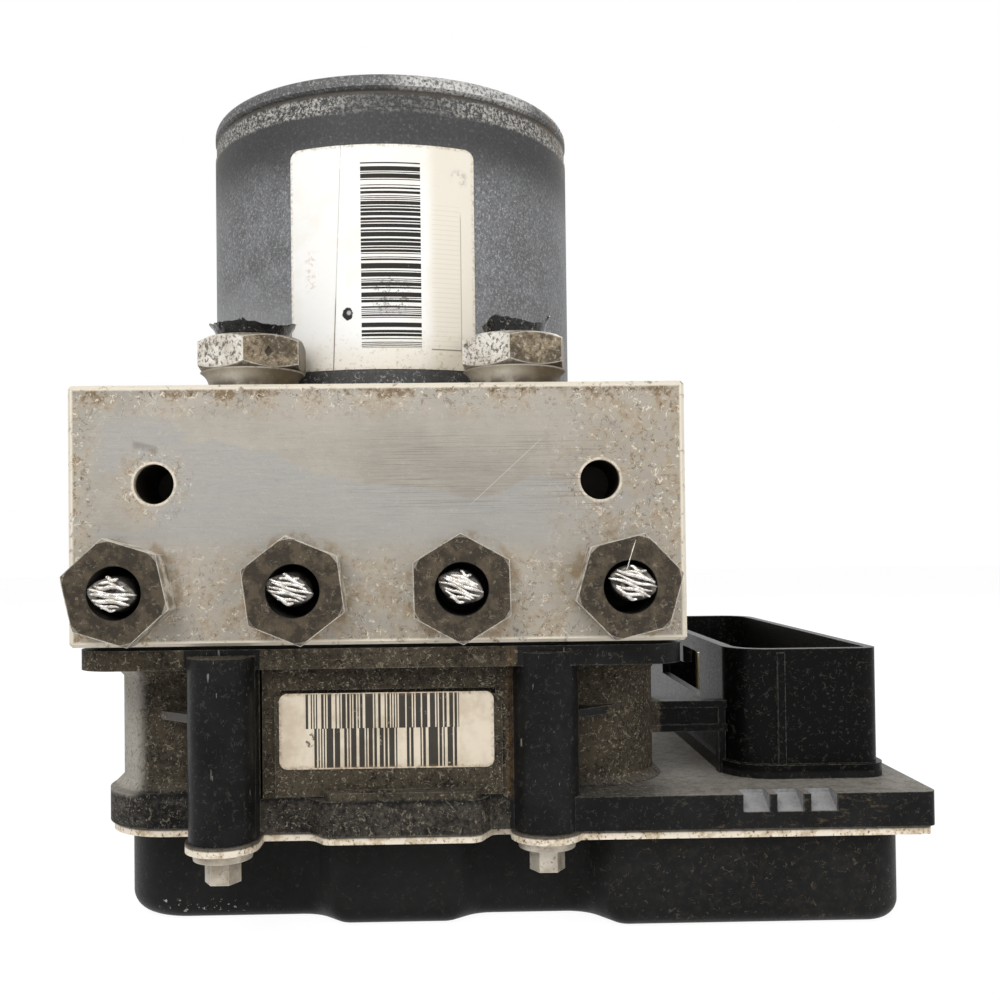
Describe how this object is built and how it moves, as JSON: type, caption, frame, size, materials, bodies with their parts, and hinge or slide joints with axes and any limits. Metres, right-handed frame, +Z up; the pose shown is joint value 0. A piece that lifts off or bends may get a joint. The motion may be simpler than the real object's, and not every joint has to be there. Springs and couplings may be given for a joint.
{
  "type": "brake hydraulic control unit",
  "caption": "Brake hydraulic control unit: aluminium valve block with a round pump motor above and a black electronics housing with a harness socket below.",
  "frame": {"origin": "on the pump motor's axis, in the plane of the lower cover's underside", "axes": "+X to the right along the face with the pipe ports, +Y from that face towards the back, +Z up along the motor's axis"},
  "size_m": [0.1327, 0.1109, 0.1412],
  "materials": {
    "zinc_steel": "matt zinc-coated deep-drawn steel, mottled",
    "block_aluminium": "sawn and milled aluminium, satin, worn pale along its edges",
    "black_plastic": "black glass-filled nylon, satin",
    "cover_plastic": "black moulded plastic, matt with fine specks",
    "plate_metal": "rolled aluminium sheet, stained edge",
    "nut_zinc": "zinc-coated steel, dirty",
    "pipe_metal": "cut and pinched steel pipe",
    "sleeve_plastic": "shiny black torn plastic",
    "label_face": "off-white plastic film, scuffed",
    "screw_steel": "plated steel, dull",
    "turned_steel": "turned and ground steel",
    "spring_steel": "drawn spring wire",
    "iron_core": "stacked electrical sheet",
    "ferrite": "pressed ferrite",
    "copper": "enamelled copper wire",
    "contact_metal": "tin and gold plated contact metal",
    "carbon": "pressed carbon",
    "resin": "moulded resin",
    "board_green": "lacquered glass fibre board",
    "gasket_rubber": "pressed rubber"
  },
  "bodies": {
    "unit": {"lower_cover": "cover_plastic", "base_plate": "plate_metal", "ecu_housing": "black_plastic", "pin_carrier": "black_plastic", "connector_pins": "contact_metal", "circuit_board": "board_green", "board_chips": "carbon", "hydraulic_block": "block_aluminium", "passage_plugs": "turned_steel", "front_pipe_nuts": "nut_zinc", "top_pipe_nuts": "nut_zinc", "cut_pipes": "pipe_metal", "torn_sleeves": "sleeve_plastic", "motor_can": "zinc_steel", "motor_screws": "screw_steel", "rear_bush": "turned_steel", "front_bearing": "turned_steel", "brush_plate": "resin", "brushes": "carbon", "magnets": "ferrite", "pump_sleeves": "turned_steel", "pump_plugs": "turned_steel", "pump_spring_left": "spring_steel", "pump_spring_right": "spring_steel", "accumulator_spring_left": "spring_steel", "accumulator_spring_right": "spring_steel", "accumulator_caps": "turned_steel", "valve_cartridges": "turned_steel", "coil_cases": "screw_steel", "coil_windings": "copper", "coil_leads": "contact_metal", "block_gasket": "gasket_rubber", "ecu_screws": "screw_steel", "deck_screws": "screw_steel", "motor_label": "label_face", "ecu_label": "label_face"},
    "rotor": {"motor_shaft": "turned_steel", "armature_core": "iron_core", "armature_windings": "copper", "commutator": "copper", "eccentric_ring": "turned_steel"},
    "pump_left": {"pump_piston_left": "turned_steel"},
    "pump_right": {"pump_piston_right": "turned_steel"},
    "store_left": {"accumulator_piston_left": "block_aluminium"},
    "store_right": {"accumulator_piston_right": "block_aluminium"}
  },
  "joints": [
    {"name": "rotor_spin", "type": "hinge", "parent": "unit", "child": "rotor", "pos_m": [0, 0, 0.115], "axis": [0, 0, 1], "continuous": true},
    {"name": "pump_stroke_left", "type": "slide", "parent": "unit", "child": "pump_left", "axis": [-1, 0, 0], "range_m": [0, 0.0022], "stiffness_N_per_m": 900, "deforming": ["pump_spring_left"]},
    {"name": "pump_stroke_right", "type": "slide", "parent": "unit", "child": "pump_right", "axis": [1, 0, 0], "range_m": [0, 0.0022], "stiffness_N_per_m": 900, "deforming": ["pump_spring_right"]},
    {"name": "store_stroke_left", "type": "slide", "parent": "unit", "child": "store_left", "axis": [0, 1, 0], "range_m": [0, 0.005], "stiffness_N_per_m": 600, "deforming": ["accumulator_spring_left"]},
    {"name": "store_stroke_right", "type": "slide", "parent": "unit", "child": "store_right", "axis": [0, 1, 0], "range_m": [0, 0.005], "stiffness_N_per_m": 600, "deforming": ["accumulator_spring_right"]}
  ]
}
